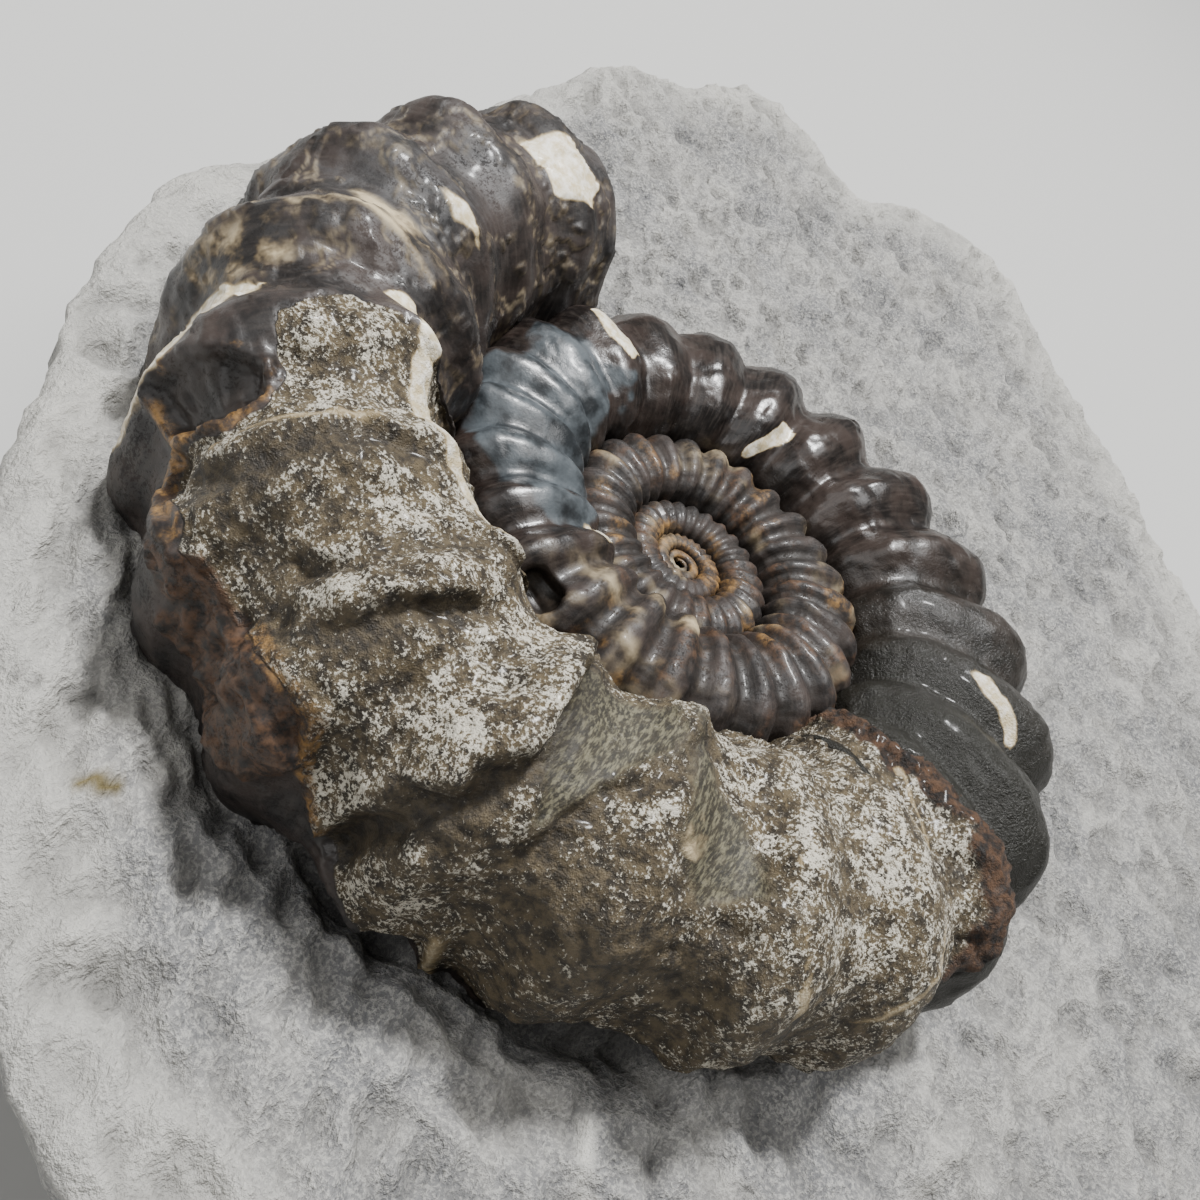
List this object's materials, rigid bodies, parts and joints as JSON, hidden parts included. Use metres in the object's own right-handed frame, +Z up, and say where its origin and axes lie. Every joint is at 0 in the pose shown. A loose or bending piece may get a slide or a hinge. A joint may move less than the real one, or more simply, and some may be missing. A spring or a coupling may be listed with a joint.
{
  "type": "fossil androgynoceras ammonite on matrix",
  "caption": "Coiled, strongly ribbed fossil shell lying half sunk in a rough grey limestone slab, a display specimen that rests on the slab's flat underside",
  "frame": {"origin": "on the slab's flat underside, below the middle of the object's box", "axes": "+Z up out of the slab's upper face, +Y along the slab's long side, +X across it"},
  "size_m": [0.114, 0.1412, 0.0396],
  "materials": {
    "fossil_shell": "dark brown shell and grainy brown crust with white calcite, satin",
    "grey_limestone": "matt, fine grained, tool marked"
  },
  "bodies": {
    "root": {"ammonite": "fossil_shell", "matrix_slab": "grey_limestone"}
  },
  "joints": []
}
